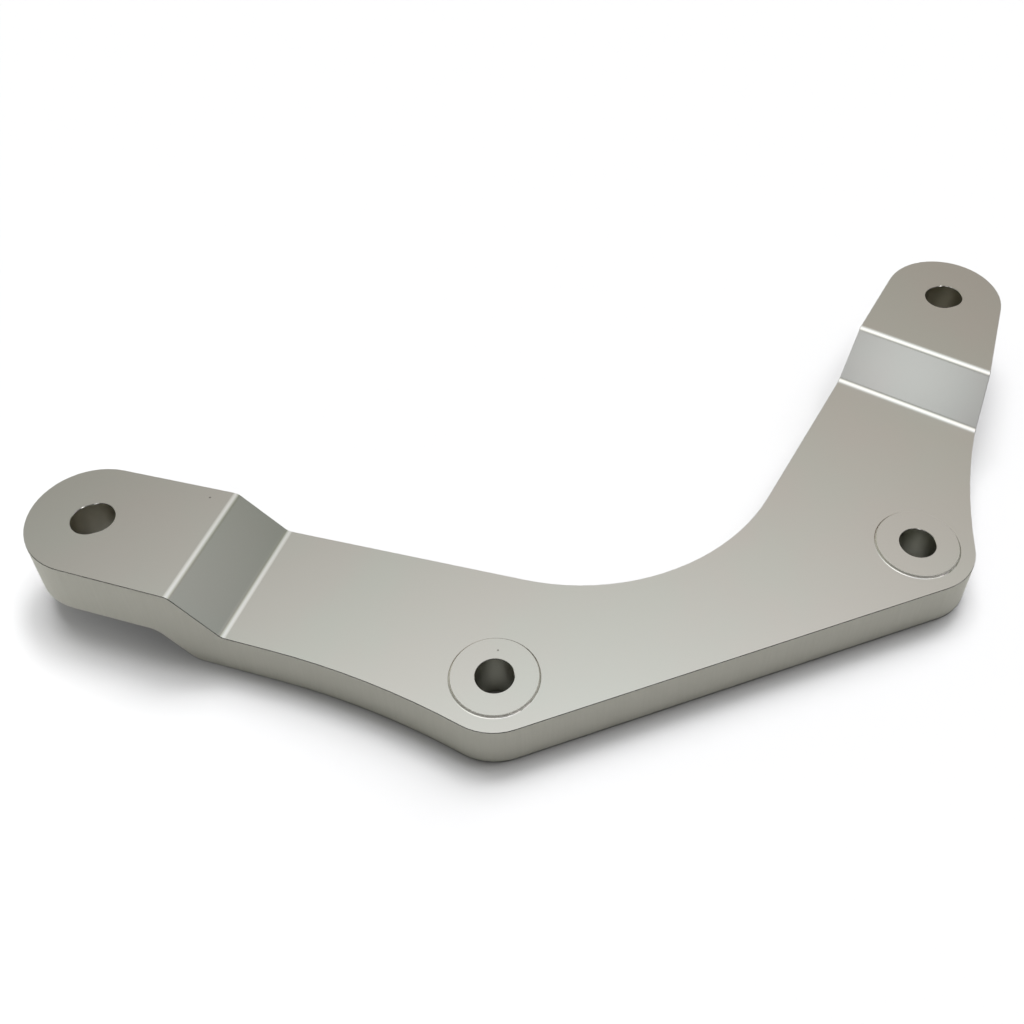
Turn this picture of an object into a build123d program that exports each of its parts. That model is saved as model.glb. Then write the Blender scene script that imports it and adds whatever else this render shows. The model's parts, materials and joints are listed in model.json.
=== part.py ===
# Joggled mounting bracket, milled from one aluminium blank.
#
# All sizes are millimetres. Z points up and the flat underside of the plate is on Z = 0.
# The origin is on that underside, midway between the two boss holes. X runs along the line of
# the boss holes, and Y runs from the straight base edge toward the two raised tabs.

import os
from dataclasses import dataclass
from math import asin, atan2, degrees, radians, sqrt, tan

from build123d import *

# Plate
plate_thickness = 13.0
hole_spacing = 110.0
hole_diameter = 9.0
corner_radius = 14.2        # concentric with the boss holes; the base edge is tangent to both corners

# Bosses
boss_diameter = 20.4
boss_height = 0.7
boss_root_radius = 0.45

# Bay between the arms
bay_radius = 55.6
bay_shift = -8.1            # centre of the bay from the YZ plane, toward the longer arm
bay_distance = 69.4         # centre of the bay from the line of the boss holes

# Tabs
tab_distance = 68.5         # tab centres from the line of the boss holes
tab_radius = 16.0
tab_rise = 11.0             # top of the tab above the top of the plate
tab_thickness = 15.6        # the ramp below the tab has the same thickness
slot_width = 9.0
slot_length = 10.5

# Outer edges
hollow_angle = 3.5          # at the tab, the outer edge turns in from the straight tab-to-corner tangent

# Ramps
ramp_angle = 44.0           # slope against the plate
ramp_heading = 39.6         # direction of the slope against the X axis, seen from above
ramp_upper_radius = 2.5     # both bends of the upper surface
ramp_underside_radius = 5.0

# Rims
edge_break = 0.12           # chamfer round the upper surface, the bosses and both ends of the holes
lower_rim_radius = 0.8


def unit(angle):
    """Unit vector in the plan, at an angle to the X axis."""
    return Vector(1, 0).rotate(Axis.Z, angle)


def left_of(angle):
    """Unit vector square to that direction, on its left."""
    return unit(angle + 90)


def tangent_angle(start, start_offset, end, end_offset):
    """Direction of the line that passes two points at given distances, positive to their left."""
    span = end - start
    return degrees(atan2(span.Y, span.X) - asin((start_offset - end_offset) / span.length))


@dataclass
class Arm:
    """One arm, worked out as if it pointed toward +X. The side then sends it left or right."""

    side: int                   # 1 toward +X, -1 toward -X
    tab_offset: float           # tab centre from the YZ plane
    outer_arc_radius: float     # hollow of the outer edge, between the tab's straight and the corner
    ramp_setback: float         # tab centre to the upper ramp line

    def placed(self, point):
        return Vector(self.side * point.X, point.Y)

    @property
    def tab(self):
        return Vector(self.tab_offset, tab_distance)

    @property
    def corner(self):
        """Centre of the rounded corner, and of the boss."""
        return Vector(hole_spacing / 2, 0)

    @property
    def bay(self):
        return Vector(self.side * bay_shift, bay_distance)

    @property
    def inner_angle(self):
        """The inner edge passes below the bay and above the tab, tangent to both."""
        return tangent_angle(self.bay, -bay_radius, self.tab, tab_radius)

    @property
    def outer_angle(self):
        return tangent_angle(self.corner, -corner_radius, self.tab, -tab_radius) - hollow_angle

    @property
    def bay_end(self):
        return self.bay - left_of(self.inner_angle) * bay_radius

    @property
    def tab_inner(self):
        return self.tab + left_of(self.inner_angle) * tab_radius

    @property
    def tab_tip(self):
        return self.tab + unit((self.inner_angle + self.outer_angle) / 2) * tab_radius

    @property
    def tab_outer(self):
        return self.tab - left_of(self.outer_angle) * tab_radius

    @property
    def hollow_start(self):
        """Where the outer edge runs into its hollow arc.

        The arc touches the straight edge and the corner from outside, so its centre is one
        radius from the edge, and one radius plus the corner radius from the corner's centre.
        """
        direction = unit(self.outer_angle)
        outward = left_of(self.outer_angle) * -1
        gap = self.tab_outer + outward * self.outer_arc_radius - self.corner
        along = gap.dot(direction)
        reach = self.outer_arc_radius + corner_radius
        return self.tab_outer - direction * (along - sqrt(along**2 - gap.length**2 + reach**2))

    @property
    def hollow_centre(self):
        return self.hollow_start - left_of(self.outer_angle) * self.outer_arc_radius

    @property
    def hollow_end(self):
        return self.corner + (self.hollow_centre - self.corner).normalized() * corner_radius

    @property
    def base_end(self):
        return self.corner - Vector(0, corner_radius)


left_arm = Arm(side=-1, tab_offset=133.0, outer_arc_radius=200.0, ramp_setback=28.8)
right_arm = Arm(side=1, tab_offset=103.0, outer_arc_radius=160.0, ramp_setback=24.2)
arms = (left_arm, right_arm)

tab_top = plate_thickness + tab_rise
tab_underside = tab_top - tab_thickness
clear = 2 * hole_spacing    # long enough to pass every face of the bracket
near = 0.01                 # closer than this, two lengths or two directions count as equal


def short_arc(centre, start, end):
    """Arc of less than half a turn about a centre."""
    radius = (start - centre).length
    middle = centre + (start + end - centre * 2).normalized() * radius
    return ThreePointArc(start, middle, end)


def arm_edges(arm):
    """The edges of one arm, from the base edge round the tab to the bay."""
    on_arm = arm.placed
    base_end, hollow_end = on_arm(arm.base_end), on_arm(arm.hollow_end)
    hollow_start, tab_outer = on_arm(arm.hollow_start), on_arm(arm.tab_outer)
    tab_inner = on_arm(arm.tab_inner)
    return [
        short_arc(on_arm(arm.corner), base_end, hollow_end),
        short_arc(on_arm(arm.hollow_centre), hollow_end, hollow_start),
        Line(hollow_start, tab_outer),
        ThreePointArc(tab_outer, on_arm(arm.tab_tip), tab_inner),
        Line(tab_inner, on_arm(arm.bay_end)),
    ]


def outline():
    """Plan of the bracket: straight edges and arcs, each tangent to the next."""
    base_ends = [arm.placed(arm.base_end) for arm in arms]
    bay_ends = [arm.placed(arm.bay_end) for arm in arms]
    base_edge = Line(*base_ends)
    bay_edge = short_arc(Vector(bay_shift, bay_distance), *bay_ends)
    return make_face([base_edge, bay_edge, *arm_edges(left_arm), *arm_edges(right_arm)])


def rounded(face, point, radius):
    """The face with the corner nearest to a point rounded."""
    return fillet(face.vertices().sort_by_distance(point)[0], radius)


def arm_layer(arm):
    """Half of the space between the upper and lower surfaces: plate, ramp and tab of one arm."""
    slope = tan(radians(ramp_angle))
    upper_start = arm.ramp_setback
    upper_end = upper_start + tab_rise / slope
    lower_start = upper_start - tab_thickness * tan(radians(ramp_angle / 2))
    lower_end = lower_start + tab_underside / slope
    corners = [
        (-clear, tab_underside),
        (lower_start, tab_underside),
        (lower_end, 0),
        (clear, 0),
        (clear, plate_thickness),
        (upper_end, plate_thickness),
        (upper_start, tab_top),
        (-clear, tab_top),
    ]
    profile = make_face(Polyline(*corners, close=True))
    profile = rounded(profile, (lower_start, tab_underside), ramp_underside_radius)
    profile = rounded(profile, (lower_end, 0), ramp_underside_radius)
    profile = rounded(profile, (upper_end, plate_thickness), ramp_upper_radius)
    profile = rounded(profile, (upper_start, tab_top), ramp_upper_radius)
    downhill = arm.placed(unit(ramp_heading)) * -1
    section = Plane(origin=arm.placed(arm.tab), x_dir=downhill, z_dir=downhill.cross(Vector(0, 0, 1)))
    layer = extrude(section * profile, clear, both=True)
    own_half = Pos(arm.side * clear, 0, 0) * Box(2 * clear, 4 * clear, 4 * clear)
    return layer & own_half


def rims(body, side):
    """Edges where the walls meet the upper surface (side 1) or the lower surface (side -1)."""
    walls = body.faces().filter_by(lambda face: abs(face.normal_at().Z) < near)
    surface = body.faces().filter_by(lambda face: side * face.normal_at().Z > near)
    return (walls.edges() & surface.edges()).sort_by(Axis.X)


def main_body():
    """The outline, held between both surfaces: lower rim rounded, upper rim burr-free."""
    column = extrude(outline(), tab_top)
    layer = (arm_layer(left_arm) + arm_layer(right_arm)).clean()
    body = column & layer
    body = fillet(rims(body, -1), lower_rim_radius)
    return chamfer(rims(body, 1), edge_break)


def boss():
    """A low round pad, burr-free on top."""
    pad = Cylinder(boss_diameter / 2, boss_height, align=(Align.CENTER, Align.CENTER, Align.MIN))
    return chamfer(pad.edges().sort_by(Axis.Z)[-1], edge_break)


def bore():
    """Cutter for a round hole through plate and boss, wider at both mouths by the edge break."""
    radius = hole_diameter / 2
    depth = plate_thickness + boss_height
    standing = (Align.CENTER, Align.CENTER, Align.MIN)
    drill = Cylinder(radius, depth, align=standing)
    mouth = Cone(radius + edge_break, radius, edge_break, align=standing)
    return drill + mouth + Pos(0, 0, depth) * Rot(180, 0, 0) * mouth


def slot():
    """Cutter for the short slot through a tab, wider at both mouths by the edge break."""
    shape = SlotOverall(slot_length, slot_width)
    mouth = extrude(offset(shape, edge_break), edge_break, taper=45)
    through = extrude(shape, tab_thickness)
    return through + mouth + Pos(0, 0, tab_thickness) * Rot(180, 0, 0) * mouth


def bracket():
    """The whole bracket."""
    body = main_body()
    for arm in arms:
        hole = arm.placed(arm.corner)
        body += Pos(hole.X, hole.Y, plate_thickness) * boss()
    circles = body.edges().filter_by(GeomType.CIRCLE)
    boss_roots = circles.filter_by(
        lambda edge: abs(edge.radius - boss_diameter / 2) < near
        and abs(edge.center().Z - plate_thickness) < near
    )
    body = fillet(boss_roots, boss_root_radius)
    for arm in arms:
        hole, tab = arm.placed(arm.corner), arm.placed(arm.tab)
        body -= Pos(hole.X, hole.Y, 0) * bore()
        body -= Pos(tab.X, tab.Y, tab_underside) * slot()
    return body


os.makedirs("parts", exist_ok=True)
part = bracket()
part.label = "bracket"
export_step(part, "parts/bracket.step")
for arm in arms:
    print("arm", arm.side, "inner", round(arm.inner_angle, 2), "outer", round(arm.outer_angle, 2))
print("volume", round(part.volume), "mm3, box", part.bounding_box())
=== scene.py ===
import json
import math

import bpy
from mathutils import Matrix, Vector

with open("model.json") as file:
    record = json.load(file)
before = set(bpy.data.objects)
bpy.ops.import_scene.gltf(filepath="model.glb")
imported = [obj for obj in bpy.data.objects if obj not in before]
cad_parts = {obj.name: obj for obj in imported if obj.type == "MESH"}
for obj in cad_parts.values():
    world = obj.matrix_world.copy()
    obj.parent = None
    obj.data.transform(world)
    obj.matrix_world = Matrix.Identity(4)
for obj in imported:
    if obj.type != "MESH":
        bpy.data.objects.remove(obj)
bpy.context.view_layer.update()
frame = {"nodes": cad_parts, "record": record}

# %% [markdown]
# # A joggled aluminium bracket
#
# This bracket is milled from one blank of aluminium: a flat plate with two low pads round its
# bolt holes, and two arms that step up over steep ramps to slotted tabs. Its shape comes
# ready from the CAD model, which the lines above have loaded. What is left for Blender is what
# the machine shop and the photographer add: the finish of every face, the light, and the camera.
#
# The first thing is to take the bracket's mesh from what was loaded, and to set the millimetre in
# which most sizes below are given.

MM = 0.001                    # the scene is in metres, and most sizes below are in millimetres
bracket = frame["nodes"]["bracket"]

# %% [markdown]
# ## Where the camera looks
#
# The photographer stood at a bench, a little to the left of the bracket's middle, and looked down
# on it at about 47 degrees from close by. Being close matters: it is what makes the left tab look
# larger than the right one. The position and the three angles come from matching the hole
# centres and the edges of the bracket in the photograph with their places on the CAD model.
#
# A camera in Blender looks along its own -Z, with X to the right and Y up. Working out those
# three directions in the scene is clearer than setting rotations about axes.

# %% Work out where the camera looks
EYE = Vector((-97.24, -150.48, 258.63)) * MM
TURN, TILT, LEAN = 0.3641, 0.8137, 0.0085      # to the right, down, and sideways, in radians

ahead = Vector((math.sin(TURN), math.cos(TURN), 0))
across = Vector((math.cos(TURN), -math.sin(TURN), 0))
overhead = Vector((0, 0, 1))
view = ahead * math.cos(TILT) - overhead * math.sin(TILT)
above = ahead * math.sin(TILT) + overhead * math.cos(TILT)
right = across * math.cos(LEAN) + above * math.sin(LEAN)
up = above * math.cos(LEAN) - across * math.sin(LEAN)
print("looking down at", round(math.degrees(TILT), 1), "degrees")

# %% [markdown]
# ## The camera
#
# The three directions become the columns of the camera's matrix. The bracket sits low and left
# in the picture while the middle of the lens points above it, so the picture is a crop of a
# larger one. Blender's lens shift does the same thing.

# %% Place the camera
PICTURE = 1024                # side of the square picture, in pixels
FILM = 36.0                   # width of the film, in millimetres
LENS_IN_PIXELS = 1264.4       # from the lens to the film, in pixels of the picture
LENS_AXIS = (559.3, 431.9)    # where the middle of the lens points, from the top left corner
NEAREST = 10 * MM             # what is closer to the lens isn't shown

lens = bpy.data.cameras.new("bench camera")
lens.sensor_width = FILM
lens.lens = LENS_IN_PIXELS / PICTURE * FILM
lens.shift_x = (PICTURE / 2 - LENS_AXIS[0]) / PICTURE
lens.shift_y = (LENS_AXIS[1] - PICTURE / 2) / PICTURE
lens.clip_start = NEAREST
camera = bpy.data.objects.new("bench camera", lens)
bpy.context.scene.collection.objects.link(camera)
columns = Matrix((right, up, -view)).transposed().to_4x4()
camera.matrix_world = Matrix.Translation(EYE) @ columns
bpy.context.scene.camera = camera
print("lens", round(lens.lens, 2), "mm, shift", round(lens.shift_x, 3), round(lens.shift_y, 3))

# %% [markdown]
# ## The table
#
# The bracket lies on a plain pale board. One large plane is enough for it. It isn't part of the
# bracket. The bracket is still selected after it was loaded, so everything is deselected before
# the plane is added.

# %% Lay out the table
TABLE_SIDE = 6.0              # in metres

bpy.ops.object.select_all(action="DESELECT")
bpy.ops.mesh.primitive_plane_add(size=TABLE_SIDE, location=(0, 0, 0))
table = bpy.context.object
table.name = "table"
print("table:", [round(side, 1) for side in table.dimensions], "m")

# %% [markdown]
# ## The face of the board
#
# A matt board spreads the light evenly and has no shine, so only a soft shadow shows where the
# bracket shades it. It is really a grey, lit until it looks white: that keeps the shadows deep
# right under the metal.
#
# A material in Blender is a tree of nodes. Each node has sockets, and a socket holds a number
# or a colour, or takes what another node sends out. One helper makes a node and fills its
# sockets in one go. The board needs only a node for a matt surface, and the output.

# %% Make the board matt and pale
BOARD_GREY = 0.27             # share of the light that the board sends back


def wire(tree, kind, settings=None, **sockets):
    """One shader node, with its own settings and with what goes into its sockets.

    A socket is named with _ for each space in its name, or with _ and its number.
    """
    node = tree.nodes.new(kind)
    for name, value in (settings or {}).items():
        setattr(node, name, value)
    for name, value in sockets.items():
        numbered = name.startswith("_")
        target = node.inputs[int(name[1:]) if numbered else name.replace("_", " ")]
        if isinstance(value, bpy.types.NodeSocket):
            tree.links.new(value, target)
        else:
            target.default_value = value
    return node


paper = bpy.data.materials.new("matt pale board")
paper.use_nodes = True
paper.node_tree.nodes.clear()
board_colour = (BOARD_GREY, BOARD_GREY, BOARD_GREY, 1.0)
board = wire(paper.node_tree, "ShaderNodeBsdfDiffuse", Color=board_colour)
wire(paper.node_tree, "ShaderNodeOutputMaterial", Surface=board.outputs["BSDF"])
table.data.materials.append(paper)
print("the board sends back", BOARD_GREY, "of the light that falls on it")

# %% [markdown]
# ## The light tent
#
# Bare metal has hardly any colour of its own: it shows what surrounds it. A photographer puts
# a part like this in a light tent, a white dome with a few lamps behind the cloth, and chooses
# their places by what each face mirrors.
#
# Each lamp is a soft round patch on the dome. Its place is a compass heading, from the back of
# the table (+Y) toward the right (+X), and a height above the table, both in degrees. Most
# patches are wide. The tighter ones at the end are there for one thing each: each ramp mirrors
# one of them, the rims of the round pads two more, and the far rims of the slots the two small
# bright ones beside the camera. Two low ones in front keep the ramps from going black when they
# are seen from above.

# %% List the lamps behind the cloth
LAMPS = (
    # heading, height, tightness, colour
    (0, 90, 60, (0.36, 0.21, 0.18)),
    (0, 74, 14, (0.30, 0.28, 0.25)),
    (72, 74, 14, (0.99, 1.06, 1.18)),
    (288, 74, 14, (1.70, 1.72, 1.59)),
    (0, 55, 14, (0.38, 0.45, 0.41)),
    (45, 55, 14, (0.28, 0.24, 0.20)),
    (90, 55, 14, (0.11, 0.16, 0.04)),
    (0, 35, 14, (0.11, 0.02, 0.00)),
    (40, 35, 14, (0.37, 0.35, 0.30)),
    (80, 14, 14, (0.10, 0.09, 0.05)),
    (320, 14, 14, (0.95, 0.96, 0.78)),
    (100, 30, 60, (0.54, 0.57, 0.54)),
    (240, 49, 400, (1.62, 1.64, 1.61)),
    (110, 62, 40, (0.93, 0.85, 0.66)),
    (115, 48, 40, (0.67, 0.52, 0.70)),
    (130, 6, 30, (0.36, 0.36, 0.35)),
    (228, 6, 30, (0.36, 0.36, 0.35)),
    (162, 43, 300, (5.0, 5.0, 4.9)),
    (207, 46, 300, (5.0, 5.0, 4.9)),
)
CLOTH = (0.02, 0.02, 0.02)    # what the cloth shows between the lamps
print("lamps behind the cloth:", len(LAMPS))

# %% [markdown]
# ## Arithmetic with nodes
#
# A shader can't run Python while it renders, so its arithmetic is made of nodes as well, one for
# each step. Two helpers keep that short: one for single numbers, and one for what has three
# parts, such as a place, a direction or a colour. A third helper turns the heading and the
# height of a lamp into a direction.

# %% Make helpers for arithmetic and directions
def calc(tree, operation, *numbers):
    """One step of arithmetic on numbers, or on sockets that send out a number."""
    inputs = {f"_{i}": number for i, number in enumerate(numbers)}
    return wire(tree, "ShaderNodeMath", {"operation": operation}, **inputs).outputs[0]


def calc_vector(tree, operation, *vectors, output="Vector", **sockets):
    """One step of arithmetic on places, directions or colours."""
    inputs = {f"_{i}": vector for i, vector in enumerate(vectors)}
    node = wire(tree, "ShaderNodeVectorMath", {"operation": operation}, **inputs, **sockets)
    return node.outputs[output]


def direction(heading, height):
    """Unit vector toward a lamp, from its heading and height in degrees."""
    turned, raised = math.radians(heading), math.radians(height)
    level = math.cos(raised)
    return Vector((level * math.sin(turned), level * math.cos(turned), math.sin(raised)))


print("the last lamp is toward", [round(part, 2) for part in direction(*LAMPS[-1][:2])])

# %% [markdown]
# ## Painting the dome
#
# The dome is painted in the world's shader, which is asked for a colour in every direction. A
# lamp could be a ball or a panel far away, but a patch painted in the world is cheaper and has
# no edge. The dot product of two directions is 1 where they agree and falls as they part, and
# an exponent makes of that a soft round glow. The tighter the lamp, the faster it dims to the
# sides. The glows are added up over the faint tone of the cloth.
#
# The Standard view transform leaves the colours of the render as they are.

# %% Paint the light tent
tent = bpy.data.worlds.new("light tent")
bpy.context.scene.world = tent
tent.use_nodes = True
dome = tent.node_tree
toward = wire(dome, "ShaderNodeTexCoord").outputs["Generated"]
light = CLOTH
for heading, height, tightness, colour in LAMPS:
    agreement = calc_vector(dome, "DOT_PRODUCT", toward, direction(heading, height), output="Value")
    dimming = calc(dome, "MULTIPLY_ADD", agreement, tightness, -tightness)
    patch = calc_vector(dome, "SCALE", colour, Scale=calc(dome, "EXPONENT", dimming))
    light = calc_vector(dome, "ADD", light, patch)
dome.links.new(light, dome.nodes["Background"].inputs["Color"])
bpy.context.scene.view_settings.view_transform = "Standard"
print("dome painted with", len(dome.nodes), "nodes")

# %% [markdown]
# ## The light on the table
#
# The dome alone would leave the board grey, and a brighter dome would burn out the metal. So a
# few wide lamps high above the back of the table light the board only, and the metal still
# shades it. Together they give every front wall a shadow that is dark at its foot and fades
# evenly. On a real bench the photographer does the same with a second exposure for the
# background. In Blender, light linking says which objects a lamp lights.
#
# A lamp of the sun kind has no place, only a direction and a width. The wider it is, the softer
# the edge of its shadow. With an energy of pi, its colour is what the board gets where the lamp
# stands straight above it.

# %% Light the table
TABLE_LAMPS = (
    # heading, height, width in degrees, colour
    (0, 80, 16, (0.58, 0.58, 0.59)),
    (90, 70, 16, (0.44, 0.44, 0.45)),
    (-10, 66, 14, (0.34, 0.34, 0.35)),
    (45, 66, 14, (0.67, 0.67, 0.68)),
    (25, 60, 28, (0.77, 0.77, 0.79)),
    (60, 42, 32, (0.65, 0.65, 0.67)),
)
on_table = bpy.data.collections.new("lit with the table")
on_table.objects.link(table)


def put_up(lamp, back, position=(0, 0, 0)):
    """Stand a lamp that lights the board only. It shines away from the direction named back."""
    stand = bpy.data.objects.new(lamp.name, lamp)
    stand.location = position
    stand.rotation_euler = back.to_track_quat("Z", "Y").to_euler()
    stand.light_linking.receiver_collection = on_table
    stand.visible_camera = False
    bpy.context.scene.collection.objects.link(stand)


for heading, height, width, colour in TABLE_LAMPS:
    lamp = bpy.data.lights.new("table lamp", "SUN")
    lamp.energy = math.pi
    lamp.color = colour
    lamp.angle = math.radians(width)
    put_up(lamp, direction(heading, height))
print("wide lamps for the table:", len(TABLE_LAMPS))

# %% [markdown]
# ## A small lamp for the left tab
#
# The raised left tab would still leave a black shadow under it. More light from the wide lamps
# would wash out the other shadows too, so a small lamp with a place of its own stands close by
# on the left and brightens the board just there.

# %% Brighten the board under the left tab
LAMP_PLACE = Vector((-190, 30, 30)) * MM
LAMP_AIM = Vector((-145, 40, 0)) * MM
LAMP_WIDTH = 60 * MM
LAMP_POWER = 0.046            # in watts

small = bpy.data.lights.new("small lamp", "AREA")
small.shape = "DISK"
small.size = LAMP_WIDTH
small.energy = LAMP_POWER
put_up(small, LAMP_PLACE - LAMP_AIM, LAMP_PLACE)
print("the small lamp is", round((LAMP_PLACE - LAMP_AIM).length / MM), "mm from what it lights")

# %% [markdown]
# ## The finish
#
# The same aluminium looks different wherever a different tool last touched it. The upper faces
# were fly-cut and lightly blasted, so they are smooth and even. The side of an end mill cut the
# walls, and left them rougher. It also cut the low rims round the pads and the slots in the tabs.
# The holes are rough too, and so is the underside with its rounded rim. On top of that the shader
# paints light and shade: painted shade darkens the holes and, less, the slots, a painted highlight
# brightens the pad rims, and painted shade darkens the underside and its rim, where the bracket
# meets its shadow.
#
# One could give each of these faces its own material, but the metal is one and its faces run
# into each other over rounded edges. So there is one shader, which finds the faces by two
# things. One is the place on the bracket, in millimetres. The other is the way the surface
# faces, where Z is 1 on top, 0 on a wall and -1 below.

# %% Read the place and the facing
metal = bpy.data.materials.new("satin machined aluminium")
metal.use_nodes = True
tree = metal.node_tree
coordinates = wire(tree, "ShaderNodeTexCoord")
facing = wire(tree, "ShaderNodeSeparateXYZ", Vector=coordinates.outputs["Normal"]).outputs["Z"]
place = calc_vector(tree, "SCALE", coordinates.outputs["Object"], Scale=1 / MM)
toward_tabs = wire(tree, "ShaderNodeSeparateXYZ", Vector=place).outputs["Y"]
print("one metre is", round(1 / MM), "in the shader, so it counts in millimetres")

# %% [markdown]
# ## The nearest hole
#
# Pads, rims, holes and slots all lie round a hole's centre, so the distance to the nearest
# centre tells them apart. Each of the two bolt patterns in the bracket's own record has a middle
# and a spacing, which give its two holes. The shader works out the distance to all four in the
# plan, with the height left out, and keeps the smallest.

# %% Measure to the nearest hole
def from_point(x, y):
    """Distance in the plan from a point, in millimetres."""
    plan = calc_vector(tree, "MULTIPLY", place, (1, 1, 0))
    return calc_vector(tree, "DISTANCE", plan, (x, y, 0), output="Value")


holes = []
for mount in frame["record"]["mounts"]:
    if mount["kind"] == "bolt_pattern":
        middle_x, middle_y = mount["pos_m"][0] / MM, mount["pos_m"][1] / MM
        reach = mount["dims"]["spacing_x_mm"] / 2
        holes += [(middle_x - reach, middle_y), (middle_x + reach, middle_y)]

to_hole = from_point(*holes[0])
for x, y in holes[1:]:
    to_hole = calc(tree, "MINIMUM", to_hole, from_point(x, y))
print("holes at", [(round(x, 1), round(y, 1)) for x, y in holes], "mm")

# %% [markdown]
# ## Masks
#
# A mask is a value from 0 to 1 that says where a finish lies. A hard limit between two finishes
# would show as a line, so each mask rises or falls over a short stretch. Multiplying two masks
# keeps what is in both: the wall of a hole is upright, and it is near a hole's centre.

# %% Tell the faces of the bracket apart
WALL_LIMITS = (0.15, 0.35)           # facing up or down: less than this is upright
UNDERSIDE_LIMITS = (-0.4, -0.05)     # facing: less than this is an underside
PAD_RIM_LIMITS = (0.72, 0.88)        # facing: less than this is no longer a flat top
HOLE_LIMITS = (6.0, 6.6)             # millimetres to the nearest hole: less is inside it
PAD_TOP_LIMITS = (9.6, 9.8)          # the same: less is the flat top of a pad
PAD_LIMITS = (12.0, 13.0)            # the same: less is a pad with its rim
TAB_LIMITS = (30.0, 40.0)            # millimetres from the line of the pads: more is an arm


def rising(value, limits, low=0.0, high=1.0):
    """A mask that rises smoothly while a value passes from one limit to the other."""
    node = wire(tree, "ShaderNodeMapRange", {"interpolation_type": "SMOOTHSTEP"}, Value=value,
                From_Min=limits[0], From_Max=limits[1], To_Min=low, To_Max=high)
    return node.outputs["Result"]


def falling(value, limits, high=1.0):
    """A mask that falls smoothly to 0 while a value passes from one limit to the other."""
    return rising(value, limits, low=high, high=0.0)


def both(one, other):
    """What two masks have in common."""
    return calc(tree, "MULTIPLY", one, other)


upright = falling(calc(tree, "ABSOLUTE", facing), WALL_LIMITS)
undersides = falling(facing, UNDERSIDE_LIMITS)
walls = both(upright, rising(to_hole, PAD_LIMITS))
bores = both(upright, falling(to_hole, HOLE_LIMITS))
slots = both(bores, rising(toward_tabs, TAB_LIMITS))
ring = both(rising(to_hole, PAD_TOP_LIMITS), falling(to_hole, PAD_LIMITS))
pad_rims = both(ring, falling(facing, PAD_RIM_LIMITS))
print("masks made: walls, undersides, bores, slots and pad rims")

# %% [markdown]
# ## The tone of the upper faces and the walls
#
# Bare aluminium is nearly neutral, and never quite even: soft clouds of a slightly greener or
# slightly warmer grey drift over it. The end mill leaves faint upright lines on the walls. Both
# are made with noise, which is one pattern with many uses: large and round it gives clouds, and
# fine and stretched along Z it gives tool lines.

# %% Tone the upper faces and the walls
CLOUD_SIZE = 30                      # in millimetres
CLOUD_LIMITS = (0.35, 0.65)          # where one grey of the clouds passes into the other
GREENER, WARMER = (0.511, 0.515, 0.507, 1), (0.521, 0.507, 0.503, 1)
LINE_WIDTH = 0.6                     # of the tool lines on the walls, in millimetres
LINE_STRETCH = (1, 1, 0.04)          # a low number in Z makes the pattern tall
LINE_DARK, LINE_LIGHT = (0.567, 0.561, 0.507, 1), (0.605, 0.599, 0.545, 1)


def cloud(size, stretch=(1, 1, 1)):
    """Soft noise from 0 to 1, with clouds of about a size in millimetres."""
    stretched = calc_vector(tree, "MULTIPLY", place, stretch)
    return wire(tree, "ShaderNodeTexNoise", Vector=stretched, Scale=1 / size).outputs[0]


def layer(under, over, mask):
    """One colour laid over another through a mask."""
    # For colours, the mask goes into socket 0 and the colours into 6 and 7; the result is 2.
    mix = wire(tree, "ShaderNodeMix", {"data_type": "RGBA"}, _0=mask, _6=under, _7=over)
    return mix.outputs[2]


clouds = layer(GREENER, WARMER, rising(cloud(CLOUD_SIZE), CLOUD_LIMITS))
tool_lines = layer(LINE_DARK, LINE_LIGHT, cloud(LINE_WIDTH, LINE_STRETCH))
tone = layer(clouds, tool_lines, walls)
print("clouds of", CLOUD_SIZE, "mm and tool lines of", LINE_WIDTH, "mm")
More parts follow.
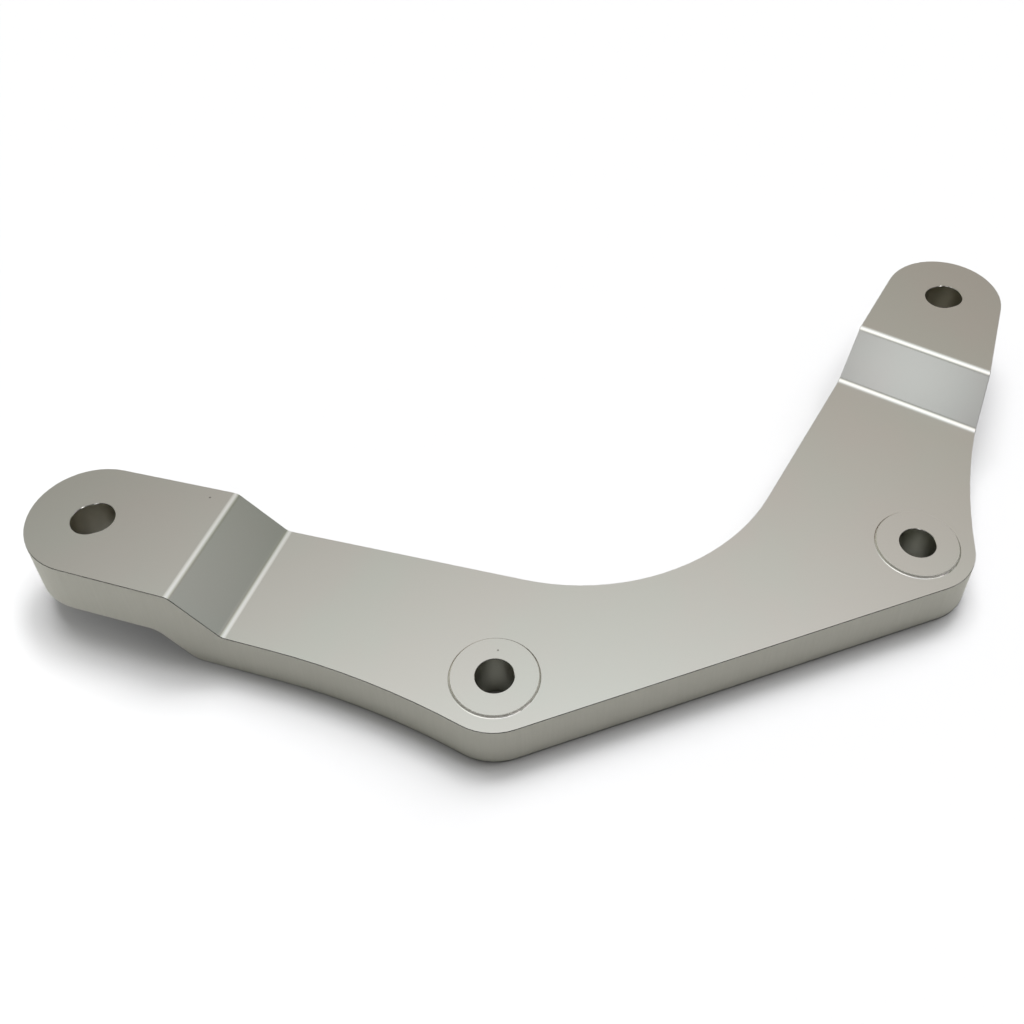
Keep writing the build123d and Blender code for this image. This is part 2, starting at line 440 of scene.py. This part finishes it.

# %% [markdown]
# ## Painted light and shade, and the specks
#
# Each further tone is laid over the one before through its mask, as with paint and stencils. All
# but the specks are painted light and shade. The order matters: the slots are bores too, so their
# lighter painted shade goes on after the darker one of the bores.
# Two dark specks, one beside a hole and one on the left tab, are dents that caught some dirt.

# %% Paint light and shade on the rims, holes and underside, and lay on the specks
# painted highlight: the rims round the pads are made far brighter than the metal, for light they
# don't catch
PAINTED_PAD_RIM_HIGHLIGHT = (0.88, 0.87, 0.83, 1)
# painted shade: the inside of the two holes is darker and warmer than the walls
PAINTED_HOLE_SHADE = (0.36, 0.36, 0.305, 1)
# painted shade inside the slots, lighter than that in the holes
PAINTED_SLOT_SHADE = (0.54, 0.52, 0.445, 1)
# painted shade on the underside and its rounded lower rim, for the dark line where the bracket
# meets its shadow
PAINTED_UNDERSIDE_SHADE = (0.27, 0.26, 0.25, 1)
DIRT = (0.12, 0.11, 0.10, 1)
SPECKS = ((-105.59, 65.45), (-52.11, 6.19))
SPECK_LIMITS = (0.12, 0.34)          # millimetres from a speck's middle: less is dirt
SPECK_COVER = 0.75                   # share of the metal that the dirt hides

# lays the painted highlight and the painted shades over the metal's tone, that of the slots after
# that of the holes
for colour, mask in (
    (PAINTED_PAD_RIM_HIGHLIGHT, pad_rims), (PAINTED_HOLE_SHADE, bores), (PAINTED_SLOT_SHADE, slots), (PAINTED_UNDERSIDE_SHADE, undersides),
):
    tone = layer(tone, colour, mask)
for x, y in SPECKS:
    tone = layer(tone, DIRT, falling(from_point(x, y), SPECK_LIMITS, SPECK_COVER))
skin = tree.nodes["Principled BSDF"]
tree.links.new(tone, skin.inputs["Base Color"])
skin.inputs["Metallic"].default_value = 1.0
print("all tones laid on, and specks:", len(SPECKS))

# %% [markdown]
# ## The gloss and the grain
#
# How sharply metal mirrors its surroundings is its roughness: 0 is a mirror and 1 is chalk. The
# upper faces are the smoothest. The blasting leaves a grain of about a quarter of a millimetre
# that is far too fine to see from here, but it makes the gloss come and go a little, and a very
# shallow relief in the same grain breaks up the highlights. The other faces add their own
# roughness through the same masks as before.

# %% Give the metal its gloss and its grain
GRAIN_SIZE = 0.25                    # in millimetres
GRAIN_DEPTH = 0.004 * MM
GRAIN_STRENGTH = 0.5
UPPER_FACES = 0.155                  # roughness of the smoothest faces
GRAIN_SHARE = 0.03                   # what the grain adds to it
ROUGH_SKIN = 0.72                    # what the walls and the undersides add
ROUGH_HOLES = 0.20
ROUGH_PAD_RIMS = 0.50

grain = cloud(GRAIN_SIZE)
rough_skin = calc(tree, "MAXIMUM", walls, undersides)
roughness = calc(tree, "MULTIPLY_ADD", grain, GRAIN_SHARE, UPPER_FACES)
for mask, share in ((rough_skin, ROUGH_SKIN), (bores, ROUGH_HOLES), (pad_rims, ROUGH_PAD_RIMS)):
    roughness = calc(tree, "MULTIPLY_ADD", mask, share, roughness)
tree.links.new(roughness, skin.inputs["Roughness"])
relief = wire(tree, "ShaderNodeBump", Height=grain, Strength=GRAIN_STRENGTH, Distance=GRAIN_DEPTH)
tree.links.new(relief.outputs["Normal"], skin.inputs["Normal"])
bracket.material_slots[0].material = metal
print("metal made with", len(tree.nodes), "nodes")
